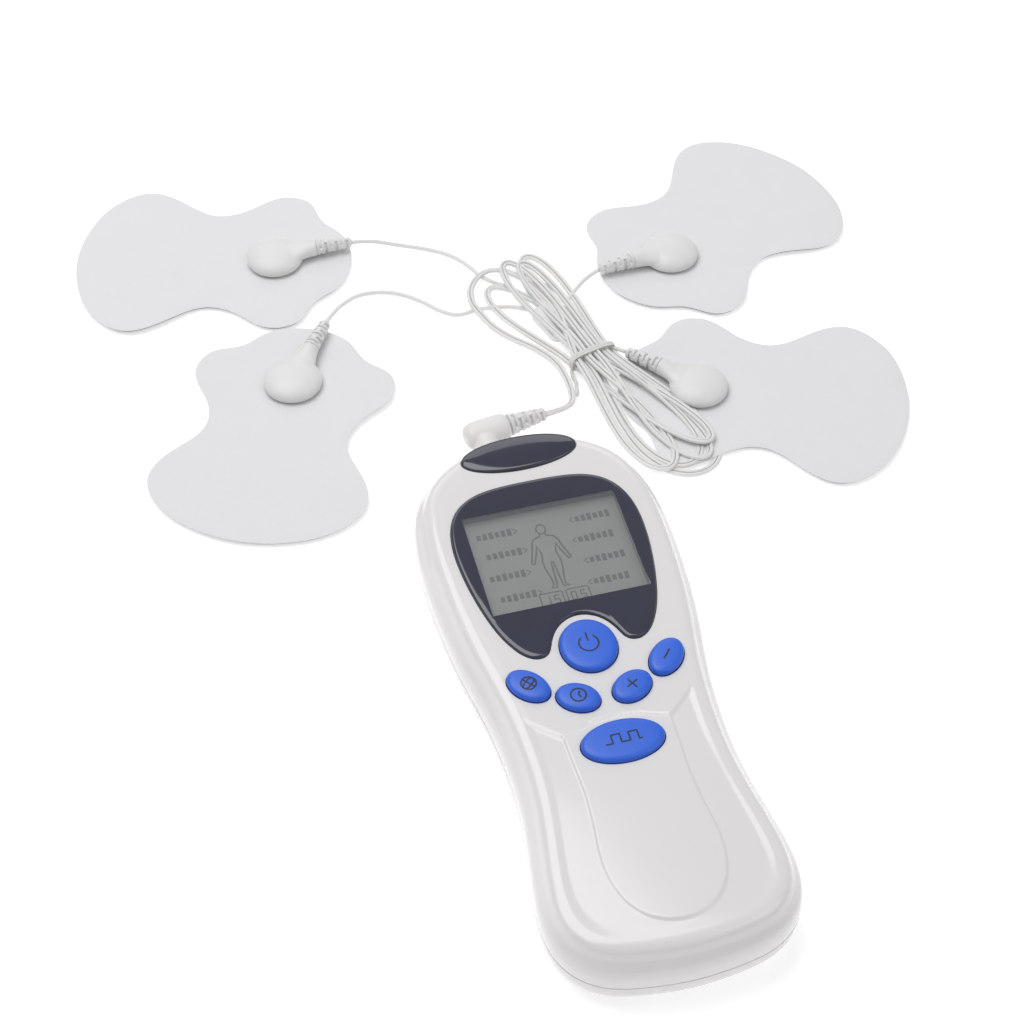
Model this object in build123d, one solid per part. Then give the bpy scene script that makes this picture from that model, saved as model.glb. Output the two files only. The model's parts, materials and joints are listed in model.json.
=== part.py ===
from build123d import *
import math
import os

# TENS unit: a handset with a display and six buttons, a lead set plugged into
# its end, and four electrode pads snapped to the leads.
# The origin is on the table under the middle of the handset.
# +Y points to the output socket and +Z points up. All sizes are in millimetres.

# ---------------------------------------------------------------- handset sizes
FACE_Z = 20.5            # height of the handset's face
PARTING_Z = 9.0          # height of the joint between the two shells
WALL = 2.0
ROOF_Z = FACE_Z - 1.9    # inside of the front shell
BOTTOM_ROUND = 7.5
TOP_ROUND = 4.0
LIP_DEPTH = 1.4
LIP_WIDTH = 0.8
FIT_GAP = 0.15           # gap round parts that drop into a recess

# right half of the handset's outline, from the socket end to the battery end
HANDSET_HALF = [
    (0, 82.5), (12, 80.8), (22, 76), (29.6, 67.5), (33.2, 56), (34, 42), (33.3, 26),
    (31.6, 11), (29.2, -3), (27.8, -17), (27.6, -29), (28.8, -42), (30.7, -55),
    (31.2, -64), (29, -73), (22.5, -79.8), (12, -83), (0, -84),
]

# right half of the display window, a shield with a notch for the power button
WINDOW_HALF = [
    (0, 63), (9, 62.7), (16, 61.2), (20.6, 58.2), (23.6, 53.6), (25.2, 47.2), (25.4, 39.4),
    (24.5, 30.4), (22.9, 21.9), (20.8, 14.6), (18.3, 9.3), (15.6, 6), (12.8, 4.8), (10.4, 5.6),
    (8.9, 8.2), (7.3, 11.4), (4.4, 14.4), (0, 15.8),
]
WINDOW_TOP_Z = 20.8
WINDOW_FLOOR_Z = 19.5

TOP_LENS = (0, 73.4, 16.2, 6.2)          # centre x, centre y, half width, half depth
SCREEN = (0, 37.2, 41.6, 33.6)           # centre x, centre y, width, height
SCREEN_GLASS = (43.4, 36.0, 1.9)

# buttons: centre x, centre y, half width, half depth, turn in degrees
BUTTONS = {
    "power_button": (0, 5.4, 7.3, 8.1, 0),
    "language_button": (-17.8, -2.8, 6.0, 4.0, -49),
    "time_button": (-6.9, -9.3, 5.6, 4.1, -29),
    "stronger_button": (6.9, -9.3, 5.6, 4.1, 29),
    "weaker_button": (17.8, -2.8, 6.0, 4.0, 49),
    "mode_button": (0, -24.4, 10.5, 6.1, 0),
}
BUTTON_TRAVEL = 0.8
BUTTON_GAP = 0.25
BUTTON_TOP_Z = 22.0
BUTTON_FLANGE = 0.45
SWITCH_TOP_Z = 15.0

BOARD_Z = 11.4
BOARD_THICK = 1.6
SCREWS = [(-24.5, 57), (24.5, 57), (-22.2, -40), (22.2, -40)]
SCREW_SHANK = 1.2
SCREW_HEAD = 2.3
HEAD_SEAT_Z = 3.0

CELL_RADIUS = 5.25       # AAA cell
CELL_LENGTH = 44.5
CELL_PITCH = 10.7
CELL_START_Y = -74.6
CELL_AXIS_Z = 7.6
COVER_HALF_WIDTH = 17.2
COVER_THICK = 1.8
COVER_START_Y = -27.6
RAIL = 0.8

# ---------------------------------------------------------------- lead set sizes
SOCKET_X = -5.5
SOCKET_Z = 11.0
SOCKET_FACE_Y = 82.2
PLUG_TURN = 9.0          # the moulded plug's arm leans this far from +X
PLUG_CENTRE = (-4.0, 91.8)
PIN_LENGTH = 11.0
LEAD_D = 2.2             # two-core main lead
BRANCH_D = 1.3           # single-core lead to each pad

PAD_HALF = [
    (39, 0), (37, 13), (30, 26), (20, 31.5), (9, 27), (-2, 20.8), (-12, 23.5),
    (-22, 29.5), (-31, 27), (-35, 19), (-41, 13), (-44.6, 6), (-45.5, 0),
]
GEL_THICK = 1.0
BACKING_THICK = 0.5
PAD_TOP_Z = GEL_THICK + BACKING_THICK
STUD_X = -22.0           # snap stud, from the pad's centre
# each pad: centre x, centre y, direction of its large lobe, direction of its lead
PADS = [
    (-68.5, 193.0, 165.0, -2.0),
    (-61.2, 113.4, 245.2, 55.0),
    (90.0, 169.2, 30.0, 188.0),
    (82.0, 93.1, 338.0, 134.0),
]
DISC_RADIUS = 8.6
DISC_LOW_Z = 2.1
DISC_TOP_Z = 6.2
BOOT_Z = 4.4
BOOT_START = 12.6
BOOT_END = 24.0

# hank of main lead: its middle, where the tie is, and its own long axis
HANK_CENTRE = (33.8, 121.0)
HANK_AXIS_DEG = -73.7
HANK_OUTLINE = [
    (-2, -5.2), (-14, -6.6), (-22, -10), (-28, -16.6), (-37, -18.6), (-45, -14.6),
    (-49.6, -7.4), (-49.6, 2), (-46.4, 9.4), (-36, 12), (-22, 11), (-9, 8.2), (0, 7),
    (8, 8), (16, 10.2), (26, 12.2), (34, 14.2), (41, 16.2), (47.4, 14.4), (52.6, 9),
    (54.6, 2.6), (51.5, -3.4), (47.5, -7.8), (39, -9.7), (28, -9.2), (12, -6.8), (4, -5),
]
HANK_SIDE = [
    (-52, 0.3), (-8, 0.3), (-2, 1.1), (3, 1.2), (9, 2.1), (58, 2.1), (58, 5.4), (44, 6.6),
    (16, 7.4), (3, 7.2), (-3, 7.2), (-36, 7.0), (-52, 5.6),
]
SPLITTER = (-19.0, -1.0, 14.0, 6.4, 2.4)     # u, v, length, width, height

# free stretches of cable: the points are the corners of each route
MAIN_LEAD_ROUTE = [
    (13.5, 94.6, 10.6), (18.6, 96.4, 9.2), (23, 101, 5.6), (25.4, 107.8, 2.4),
    (25.8, 115.8, 1.3), (24.8, 122.8, 1.3), (20.4, 130, 1.3), (14.2, 136, 1.4),
    (10.0, 141.6, 1.9), (8.9, 146.2, 2.4),
]
BRANCH_ROUTES = [
    [(-23.4, 186.3, 4.4), (-17.6, 186.2, 4.0), (-9.5, 184.2, 1.9), (-0.5, 181.2, 0.8),
     (6.2, 176.4, 0.8), (10.2, 170, 0.9), (12.6, 163.6, 1.2)],
    [(-38.3, 153.0, 4.4), (-35.2, 157.2, 3.9), (-31.2, 162.4, 2.0), (-25, 166.8, 0.8),
     (-15.6, 165.4, 0.8), (-8, 159.4, 0.8), (-2.6, 152.2, 0.8), (2.4, 149.6, 0.8),
     (7.2, 151.2, 1.1)],
    [(47.1, 154.9, 4.4), (43.2, 153.6, 3.8), (38.4, 150.4, 2.4), (34.0, 146.2, 1.9)],
    [(44.9, 118.6, 4.4), (41.6, 121.8, 4.1), (38.4, 126.0, 3.5), (36.6, 132.4, 2.6),
     (35.2, 137.6, 1.8)],
]


# ---------------------------------------------------------------- helpers
def mirrored(half):
    """Close a half outline by mirroring it across x = 0, without doubling its ends."""
    return half + [(-x, y) for x, y in half[-2:0:-1]]


def smooth_face(points):
    return make_face(Spline(*points, periodic=True))


def inset_points(points, inset):
    """Move each point of a clockwise outline inwards, square to its neighbours' chord."""
    moved = []
    count = len(points)
    for i in range(count):
        (x0, y0), (x1, y1) = points[i - 1], points[(i + 1) % count]
        length = math.hypot(x1 - x0, y1 - y0)
        x, y = points[i]
        moved.append((x + inset * (y1 - y0) / length, y - inset * (x1 - x0) / length))
    return moved


def prism(points, low, high):
    return Pos(0, 0, low) * extrude(smooth_face(points), high - low)


def box_between(low, high):
    size = [high[i] - low[i] for i in range(3)]
    centre = [(high[i] + low[i]) / 2 for i in range(3)]
    return Pos(*centre) * Box(*size)


def upright(radius, x, y, low, high):
    return Pos(x, y, (low + high) / 2) * Cylinder(radius, high - low)


def oval(x, y, half_x, half_y, low, high, turn=0):
    return Pos(x, y, low) * Rot(0, 0, turn) * extrude(Ellipse(half_x, half_y), high - low)


def handset_block(inset, low, high, low_round, high_round):
    """Solid with the handset's outline, rounded along its lower and upper edges."""
    block = prism(inset_points(mirrored(HANDSET_HALF), inset), low, high)
    block = fillet(block.edges().group_by(Axis.Z)[-1], high_round)
    return fillet(block.edges().group_by(Axis.Z)[0], low_round)


def one_solid(shape):
    """The shape's largest solid, for booleans that return a list."""
    return max(shape.solids(), key=lambda solid: solid.volume)


def group(solids):
    return Compound(children=list(solids))


def save(name, shape):
    shape.label = name
    export_step(shape, f"parts/{name}.step")


# ---------------------------------------------------------------- handset
def screw_posts(radius, low, high):
    return [upright(radius, x, y, low, high) for x, y in SCREWS]


def socket_hole(radius):
    length = 16
    return Pos(SOCKET_X, SOCKET_FACE_Y, SOCKET_Z) * Rot(90, 0, 0) * Cylinder(radius, length)


def cover_blank(gap):
    """Battery cover with its side rails, grown by a gap for cutting its seat."""
    half = COVER_HALF_WIDTH + gap
    end_y = HANDSET_HALF[-1][1] - 5
    plate = box_between((-half, end_y, -1), (half, COVER_START_Y + gap, COVER_THICK + gap))
    rail_low, rail_high = 0.9 - gap, 1.3 + gap
    rail = box_between((-half - RAIL, end_y, rail_low), (half + RAIL, COVER_START_Y + gap, rail_high))
    return plate + rail


def back_shell():
    outer = handset_block(0, 0, FACE_Z, BOTTOM_ROUND, TOP_ROUND)
    lower = outer & box_between((-60, -110, -1), (60, 110, PARTING_Z))
    inner = handset_block(WALL, WALL, FACE_Z - WALL, BOTTOM_ROUND - WALL, TOP_ROUND - WALL)
    shell = lower - inner
    bay = box_between((-19.2, -79, WALL - 0.2), (19.2, COVER_START_Y, PARTING_Z))
    bay_room = box_between((-16.6, -77.9, -1), (16.6, COVER_START_Y - 1.2, PARTING_Z + 1))
    floor_plate = (bay - bay_room) & outer
    posts = group(screw_posts(3.3, 0.6, PARTING_Z)) & outer
    shell = shell + floor_plate
    for post in posts.solids():
        shell = shell + post
    shell = shell - cover_blank(FIT_GAP) - bay_room
    for hole in screw_posts(SCREW_SHANK + 0.2, -1, PARTING_Z + 1):
        shell = shell - hole
    for seat in screw_posts(SCREW_HEAD + 0.25, -1, HEAD_SEAT_Z):
        shell = shell - seat
    lip_seat = prism(inset_points(mirrored(HANDSET_HALF), WALL - LIP_WIDTH - 0.1),
                     PARTING_Z - LIP_DEPTH - 0.1, PARTING_Z + 1)
    ring = lip_seat - prism(inset_points(mirrored(HANDSET_HALF), WALL + 0.4), 0, PARTING_Z + 2)
    return one_solid(shell - ring - socket_hole(4.6))


def front_shell():
    outer = handset_block(0, 0, FACE_Z, BOTTOM_ROUND, TOP_ROUND)
    upper = outer & box_between((-60, -110, PARTING_Z), (60, 110, FACE_Z + 5))
    inner = handset_block(WALL, WALL, ROOF_Z, BOTTOM_ROUND - WALL, TOP_ROUND - WALL)
    shell = upper - inner
    lip = prism(inset_points(mirrored(HANDSET_HALF), WALL - LIP_WIDTH), PARTING_Z - LIP_DEPTH,
                PARTING_Z + 1)
    lip = lip - prism(inset_points(mirrored(HANDSET_HALF), WALL), 0, PARTING_Z + 2)
    shell = shell + lip
    for boss in screw_posts(2.8, PARTING_Z, ROOF_Z + 0.2):
        shell = shell + boss
    for pilot in screw_posts(SCREW_SHANK + 0.05, PARTING_Z - 1, 15.5):
        shell = shell - pilot
    for x, y, half_x, half_y, turn in BUTTONS.values():
        shell = shell - oval(x, y, half_x + BUTTON_GAP, half_y + BUTTON_GAP, 0, 30, turn)
    shell = shell - prism(mirrored(WINDOW_HALF), WINDOW_FLOOR_Z, FACE_Z + 5)
    x, y, width, height = SCREEN
    shell = shell - box_between((x - width / 2, y - height / 2, 12), (x + width / 2, y + height / 2, 30))
    x, y, half_x, half_y = TOP_LENS
    shell = shell - oval(x, y, half_x, half_y, WINDOW_FLOOR_Z, 30)
    return one_solid(shell - socket_hole(4.6))


def display_window():
    outline = inset_points(mirrored(WINDOW_HALF), FIT_GAP)
    window = prism(outline, WINDOW_FLOOR_Z, WINDOW_TOP_Z)
    return fillet(window.edges().group_by(Axis.Z)[-1], 0.4)


def top_lens():
    x, y, half_x, half_y = TOP_LENS
    lens = oval(x, y, half_x - FIT_GAP, half_y - FIT_GAP, WINDOW_FLOOR_Z, WINDOW_TOP_Z)
    return fillet(lens.edges().group_by(Axis.Z)[-1], 0.5)


def button(x, y, half_x, half_y, turn):
    """Key cap with a crowned top, a retaining flange inside the shell and a stem."""
    flange_top = ROOF_Z - 0.05
    flange_low = flange_top - 1.2
    cap = oval(x, y, half_x, half_y, flange_low, BUTTON_TOP_Z, turn)
    cap = fillet(cap.edges().group_by(Axis.Z)[-1], 0.8)
    flange = oval(x, y, half_x + BUTTON_FLANGE, half_y + BUTTON_FLANGE, flange_low, flange_top, turn)
    stem = upright(1.6, x, y, SWITCH_TOP_Z + BUTTON_TRAVEL + 0.1, flange_low + 0.3)
    return one_solid(cap + flange + stem)


def circuit_board():
    wide = box_between((-21, -12, BOARD_Z), (21, 61, BOARD_Z + BOARD_THICK))
    narrow = box_between((-16, -27, BOARD_Z), (16, -12, BOARD_Z + BOARD_THICK))
    return wide + narrow


def tact_switches():
    """A dome switch under each button."""
    top = BOARD_Z + BOARD_THICK
    switches = []
    for x, y, _, _, _ in BUTTONS.values():
        base = box_between((x - 2, y - 2, top), (x + 2, y + 2, top + 1.4))
        switches.append(base + upright(1.1, x, y, top + 1.4, SWITCH_TOP_Z))
    return group(switches)


def screen_parts():
    """Display glass, the holder that carries it, and the contact strip to the board."""
    x, y, _, _ = SCREEN
    width, height, thick = SCREEN_GLASS
    board_top = BOARD_Z + BOARD_THICK
    glass_low = ROOF_Z - thick - 0.1
    glass = box_between((x - width / 2, y - height / 2, glass_low),
                        (x + width / 2, y + height / 2, glass_low + thick))
    frame_w, frame_h = width / 2 - 2.6, height / 2
    frame = box_between((x - frame_w, y - frame_h, board_top), (x + frame_w, y + frame_h, glass_low))
    frame = frame - box_between((x - frame_w + 2, y - frame_h + 4, board_top - 1),
                                (x + frame_w - 2, y + frame_h - 2, glass_low - 1.2))
    slot_low, slot_high = (x - 17, y - frame_h + 0.8), (x + 17, y - frame_h + 2.8)
    frame = frame - box_between((*slot_low, board_top - 1), (*slot_high, glass_low + 1))
    strip = box_between((slot_low[0] + 0.1, slot_low[1] + 0.1, board_top),
                        (slot_high[0] - 0.1, slot_high[1] - 0.1, glass_low))
    return glass, frame, strip


def board_parts():
    """Controller chip, pulse transformer, capacitors and beeper, under or on the board."""
    top = BOARD_Z + BOARD_THICK
    chip = box_between((-6, 32, top), (6, 44, top + 1.6))
    core = box_between((-6, 8, BOARD_Z - 6.4), (6, 20, BOARD_Z))
    capacitors = group([upright(3.0, x, 30, BOARD_Z - 7.2, BOARD_Z) for x in (-12, -4.5, 12)])
    beeper = upright(5.5, 9.5, 44, BOARD_Z - 3.5, BOARD_Z)
    return chip, core, capacitors, beeper


def output_socket():
    """Socket block soldered to the board, with the bore that takes the plug's pin."""
    half = 4.4
    body = box_between((SOCKET_X - half, 61.2, SOCKET_Z - half), (SOCKET_X + half, 78.4, SOCKET_Z + half))
    nose = Pos(SOCKET_X, 80.2, SOCKET_Z) * Rot(90, 0, 0) * Cylinder(4.3, 3.6)
    bore = Pos(SOCKET_X, 75, SOCKET_Z) * Rot(90, 0, 0) * Cylinder(1.82, 20)
    return one_solid(body + nose - bore)


def cell_positions():
    return [-CELL_PITCH, 0, CELL_PITCH]


def battery_cells():
    cells = []
    for x in cell_positions():
        middle = CELL_START_Y + CELL_LENGTH / 2
        can = Pos(x, middle - 0.5, CELL_AXIS_Z) * Rot(90, 0, 0) * Cylinder(CELL_RADIUS, CELL_LENGTH - 1)
        cap = Pos(x, CELL_START_Y + CELL_LENGTH - 0.5, CELL_AXIS_Z) * Rot(90, 0, 0) * Cylinder(1.9, 1)
        cells.append(can + cap)
    return group(cells)


def spring_contacts():
    """Conical contact springs at the cells' flat ends, compressed, as plain cones."""
    springs = []
    for x in cell_positions():
        place = Pos(x, CELL_START_Y - 1.35, CELL_AXIS_Z) * Rot(90, 0, 0)
        springs.append(place * Cone(2.2, 3.6, 2.6))
    return group(springs)


def plate_contacts():
    end = CELL_START_Y + CELL_LENGTH + 0.1
    return group([box_between((x - 3.2, end, CELL_AXIS_Z - 3.2), (x + 3.2, end + 0.5, CELL_AXIS_Z + 3.2))
                  for x in cell_positions()])


def battery_cover():
    outer = handset_block(0, 0, FACE_Z, BOTTOM_ROUND, TOP_ROUND)
    cover = cover_blank(0) & outer
    grips = [box_between((-6, y, -1), (6, y + 0.8, 0.5)) for y in (-40, -37.6, -35.2)]
    for grip in grips:
        cover = cover - grip
    return one_solid(cover)


def case_screws():
    shanks = screw_posts(SCREW_SHANK, HEAD_SEAT_Z - 0.1, 15)
    heads = screw_posts(SCREW_HEAD, HEAD_SEAT_Z - 1.5, HEAD_SEAT_Z)
    slots = screw_posts(0.9, HEAD_SEAT_Z - 2, HEAD_SEAT_Z - 0.8)
    return group([shanks[i] + heads[i] - slots[i] for i in range(len(SCREWS))])


# ---------------------------------------------------------------- lead set
def ribbed_boot(start, end, radius_start, radius_end, ribs):
    """Flexible boot along +X: a slim core with rings that shrink towards the cable."""
    length = end - start
    core = Pos((start + end) / 2, 0, 0) * Rot(0, 90, 0) * Cone(radius_start * 0.72, radius_end * 0.72, length)
    pitch = length / ribs
    for i in range(ribs):
        radius = radius_start + (radius_end - radius_start) * i / (ribs - 1)
        core = core + Pos(start + (i + 0.5) * pitch, 0, 0) * Rot(0, 90, 0) * Cylinder(radius, pitch * 0.55)
    return core


def plug_place():
    return Pos(PLUG_CENTRE[0], PLUG_CENTRE[1], SOCKET_Z) * Rot(0, 0, PLUG_TURN)


def plug_body():
    """Right-angle moulding: an arm with its ribbed boot, and a collar round the pin."""
    arm = Pos(-0.6, 0, 0) * Rot(0, 90, 0) * extrude(Ellipse(3.7, 4.4), 6.4, both=True)
    arm = fillet(arm.edges().group_by(Axis.X)[0], 2.2)
    boot = ribbed_boot(5.6, 17.6, 3.2, 2.0, 6)
    neck = Pos(5.4, 0, 0) * Rot(0, 90, 0) * Cone(3.2, 2.3, 1.6)
    body = plug_place() * (arm + neck + boot)
    collar_end = SOCKET_FACE_Y + 0.7
    collar_length = PLUG_CENTRE[1] - collar_end
    collar = Pos(SOCKET_X, collar_end + collar_length / 2, SOCKET_Z) * Rot(90, 0, 0) * Cylinder(3.3, collar_length)
    return one_solid(body + collar)


def plug_pin():
    length = PIN_LENGTH
    return Pos(SOCKET_X, SOCKET_FACE_Y + 0.7 - length / 2, SOCKET_Z) * Rot(90, 0, 0) * Cylinder(1.75, length)


def corner_radii(route):
    """The largest tangent arc that each corner's two runs leave room for."""
    radii = []
    for before, corner, after in zip(route, route[1:], route[2:]):
        run_in = Vector(*corner) - Vector(*before)
        run_out = Vector(*after) - Vector(*corner)
        half_turn = math.radians(run_in.get_angle(run_out) / 2)
        radii.append(0.45 * min(run_in.length, run_out.length) / math.tan(half_turn))
    return radii


def cable(name, route, diameter):
    """Round cable along straight runs joined by tangent arcs."""
    radii = corner_radii(route)
    path = FilletPolyline(*route, radius=radii)
    section = Plane(origin=path @ 0, z_dir=path % 0) * Circle(diameter / 2)
    tube = sweep(section, path=path)
    expected = math.pi * diameter ** 2 / 4 * path.length
    print(f"{name}: length {path.length:.1f}, volume {tube.volume:.1f} of {expected:.1f}, radii",
          " ".join(f"{radius:.1f}" for radius in radii))
    return one_solid(tube)


def hank_place():
    return Pos(*HANK_CENTRE, 0) * Rot(0, 0, HANK_AXIS_DEG)


def splitter():
    u, v, length, width, height = SPLITTER
    body = Pos(u, v, 0.2 + height / 2) * Box(length, width, height)
    return hank_place() * fillet(body.edges().filter_by(Axis.Z), 2.4)


def lead_hank():
    """Outer shape of the folded main lead: its plan cut by its side view."""
    plan = prism(HANK_OUTLINE, 0, 12)
    side = Rot(90, 0, 0) * extrude(make_face(Polyline(*HANK_SIDE, close=True)), 30, both=True)
    u, v, length, width, height = SPLITTER
    pocket = Pos(u, v, height / 2) * Box(length + 0.6, width + 0.6, height + 0.8)
    return one_solid(hank_place() * ((plan & side) - pocket))


def twist_tie():
    """Paper-covered wire round the hank's waist, with its twisted tail on the table."""
    outer = Pos(0.6, 1.2, 4.2) * Box(1.6, 16.2, 8.0)
    inner = Pos(0.6, 1.2, 4.2) * Box(3.0, 14.6, 6.5)
    tail_path = FilletPolyline((0.6, -6.3, 1.0), (4.0, -6.5, 1.0), (8.6, -8.3, 1.0), radius=4)
    section = Plane(origin=tail_path @ 0, z_dir=tail_path % 0) * Circle(0.8)
    return hank_place() * one_solid(outer - inner + sweep(section, path=tail_path))


# ---------------------------------------------------------------- electrode pads
def pad_place(index):
    x, y, turn, _ = PADS[index]
    return Pos(x, y, 0) * Rot(0, 0, turn)


def stud_point(index):
    x, y, turn, _ = PADS[index]
    turn = math.radians(turn)
    return x + STUD_X * math.cos(turn), y + STUD_X * math.sin(turn)


def connector_place(index):
    return Pos(*stud_point(index), 0) * Rot(0, 0, PADS[index][3])


def pad_outline():
    """Butterfly outline: a large lobe, a waist, two ears and a nose between them."""
    return PAD_HALF + [(x, -y) for x, y in PAD_HALF[-2:0:-1]]


def pad_gel(index):
    shape = prism(inset_points(pad_outline(), -0.6), 0, GEL_THICK)
    return pad_place(index) * shape


def pad_backing(index):
    return pad_place(index) * prism(pad_outline(), GEL_THICK, PAD_TOP_Z)


def snap_stud(index):
    base = upright(4.2, 0, 0, PAD_TOP_Z, PAD_TOP_Z + 0.35)
    post = upright(1.9, 0, 0, PAD_TOP_Z, PAD_TOP_Z + 2.8)
    return connector_place(index) * one_solid(base + post)


def connector(index):
    """Snap connector: a domed disc, a neck and a ribbed boot in one moulding."""
    height = DISC_TOP_Z - DISC_LOW_Z
    disc = upright(DISC_RADIUS, 0, 0, DISC_LOW_Z, DISC_TOP_Z)
    disc = fillet(disc.edges().group_by(Axis.Z)[-1], height * 0.8)
    neck = Pos(8.2, 0, BOOT_Z) * Rot(0, 90, 0) * Cone(3.6, 2.6, 9.6)
    neck = neck & box_between((0, -9, DISC_LOW_Z), (20, 9, 12))
    boot = Pos(0, 0, BOOT_Z) * ribbed_boot(BOOT_START, BOOT_END, 2.5, 1.7, 7)
    room = upright(3.45, 0, 0, DISC_LOW_Z - 1, PAD_TOP_Z + 3.1)
    return connector_place(index) * one_solid(disc + neck + boot - room)


def snap_socket(index):
    ring = upright(3.4, 0, 0, DISC_LOW_Z + 0.1, PAD_TOP_Z + 3.05)
    bore = upright(1.96, 0, 0, 0, 10)
    return connector_place(index) * (ring - bore)


# ---------------------------------------------------------------- write the parts
os.makedirs("parts", exist_ok=True)

save("back_shell", back_shell())
save("front_shell", front_shell())
save("display_window", display_window())
save("top_lens", top_lens())
screen_glass, screen_holder, contact_strip = screen_parts()
save("screen_glass", screen_glass)
save("screen_holder", screen_holder)
save("contact_strip", contact_strip)
save("circuit_board", circuit_board())
save("tact_switches", tact_switches())
controller_chip, pulse_transformer, capacitors, beeper = board_parts()
save("controller_chip", controller_chip)
save("pulse_transformer", pulse_transformer)
save("capacitors", capacitors)
save("beeper", beeper)
save("output_socket", output_socket())
save("battery_cells", battery_cells())
save("spring_contacts", spring_contacts())
save("plate_contacts", plate_contacts())
save("battery_cover", battery_cover())
save("case_screws", case_screws())
for name, shape in BUTTONS.items():
    save(name, button(*shape))

save("plug_body", plug_body())
save("plug_pin", plug_pin())
save("main_lead", cable("main_lead", MAIN_LEAD_ROUTE, LEAD_D))
save("lead_hank", lead_hank())
save("lead_splitter", splitter())
save("twist_tie", twist_tie())
for i, route in enumerate(BRANCH_ROUTES):
    save(f"branch_lead_{i + 1}", cable(f"branch_lead_{i + 1}", route, BRANCH_D))
    save(f"connector_{i + 1}", connector(i))
    save(f"pad_gel_{i + 1}", pad_gel(i))
    save(f"pad_backing_{i + 1}", pad_backing(i))
    save(f"snap_stud_{i + 1}", snap_stud(i))
save("snap_sockets", group([snap_socket(i) for i in range(len(PADS))]))
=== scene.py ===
import bmesh
import bpy
import json
import math
import numpy as np
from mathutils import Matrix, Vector, noise


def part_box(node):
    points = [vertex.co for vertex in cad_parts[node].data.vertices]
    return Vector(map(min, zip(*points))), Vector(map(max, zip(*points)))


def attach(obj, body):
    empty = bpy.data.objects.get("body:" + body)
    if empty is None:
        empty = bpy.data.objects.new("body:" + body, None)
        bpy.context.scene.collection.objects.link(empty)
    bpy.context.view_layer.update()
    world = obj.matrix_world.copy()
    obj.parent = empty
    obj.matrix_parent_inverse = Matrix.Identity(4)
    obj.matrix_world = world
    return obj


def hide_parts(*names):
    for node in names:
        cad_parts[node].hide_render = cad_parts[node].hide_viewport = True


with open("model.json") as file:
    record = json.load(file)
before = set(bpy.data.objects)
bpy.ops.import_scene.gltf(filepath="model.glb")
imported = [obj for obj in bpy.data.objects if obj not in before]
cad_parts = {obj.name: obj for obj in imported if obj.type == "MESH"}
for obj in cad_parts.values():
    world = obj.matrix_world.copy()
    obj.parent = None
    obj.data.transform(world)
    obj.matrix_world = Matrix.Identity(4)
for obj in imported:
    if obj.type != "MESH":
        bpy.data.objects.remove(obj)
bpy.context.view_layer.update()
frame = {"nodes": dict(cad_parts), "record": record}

# Sizes are in millimetres, as in the part; pieces are scaled to metres when they are made.
MM = 0.001
UP = np.array([0.0, 0.0, 1.0])

# ---------------------------------------------------------------- sizes from the part
PARTING_Z = 9.0
HANDSET_HALF = [
    (0, 82.5), (12, 80.8), (22, 76), (29.6, 67.5), (33.2, 56), (34, 42), (33.3, 26),
    (31.6, 11), (29.2, -3), (27.8, -17), (27.6, -29), (28.8, -42), (30.7, -55),
    (31.2, -64), (29, -73), (22.5, -79.8), (12, -83), (0, -84),
]
WINDOW_HALF = [
    (0, 63), (9, 62.7), (16, 61.2), (20.6, 58.2), (23.6, 53.6), (25.2, 47.2), (25.4, 39.4),
    (24.5, 30.4), (22.9, 21.9), (20.8, 14.6), (18.3, 9.3), (15.6, 6), (12.8, 4.8), (10.4, 5.6),
    (8.9, 8.2), (7.3, 11.4), (4.4, 14.4), (0, 15.8),
]
TOP_LENS = (0, 73.4, 16.2, 6.2)          # centre x, centre y, half width, half depth
SCREEN = (0, 37.2, 41.6, 33.6)           # centre x, centre y, width, height
BUTTONS = {                              # centre x, centre y, half width, half depth, turn
    "power_button": (0, 5.4, 7.3, 8.1, 0),
    "language_button": (-17.8, -2.8, 6.0, 4.0, -49),
    "time_button": (-6.9, -9.3, 5.6, 4.1, -29),
    "stronger_button": (6.9, -9.3, 5.6, 4.1, 29),
    "weaker_button": (17.8, -2.8, 6.0, 4.0, 49),
    "mode_button": (0, -24.4, 10.5, 6.1, 0),
}
PAD_HALF = [
    (39, 0), (37, 13), (30, 26), (20, 31.5), (9, 27), (-2, 20.8), (-12, 23.5),
    (-22, 29.5), (-31, 27), (-35, 19), (-41, 13), (-44.6, 6), (-45.5, 0),
]
STUD_X = -22.0                           # the snap stud, from a pad's middle along its lobe axis
PADS = [                                 # centre x, centre y, lobe direction, lead direction
    (-68.5, 193.0, 165.0, -2.0),
    (-61.2, 113.4, 245.2, 55.0),
    (90.0, 169.2, 30.0, 188.0),
    (82.0, 93.1, 338.0, 134.0),
]
SOCKET_X = -5.5
SOCKET_Z = 11.0
COLLAR_START_Y = 82.9                    # where the plug's collar starts, next to the case
PLUG_CENTRE = (-4.0, 91.8)
PLUG_TURN = 9.0
LEAD_D = 2.2
BRANCH_D = 1.3
BOOT_Z = 4.4
DISC_LOW_Z = 2.1
DISC_TOP_Z = 6.2
DISC_RADIUS = 8.6
HANK_CENTRE = (33.8, 121.0)
HANK_AXIS_DEG = -73.7
MAIN_LEAD_ROUTE = [                      # from the plug's boot to the hank
    (13.5, 94.6, 10.6), (18.6, 96.4, 9.2), (23, 101, 5.6), (25.4, 107.8, 2.4),
    (25.8, 115.8, 1.3), (24.8, 122.8, 1.3), (20.4, 130, 1.3), (14.2, 136, 1.4),
    (10.0, 141.6, 1.9), (8.0, 147.2, 2.2),
]
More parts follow.
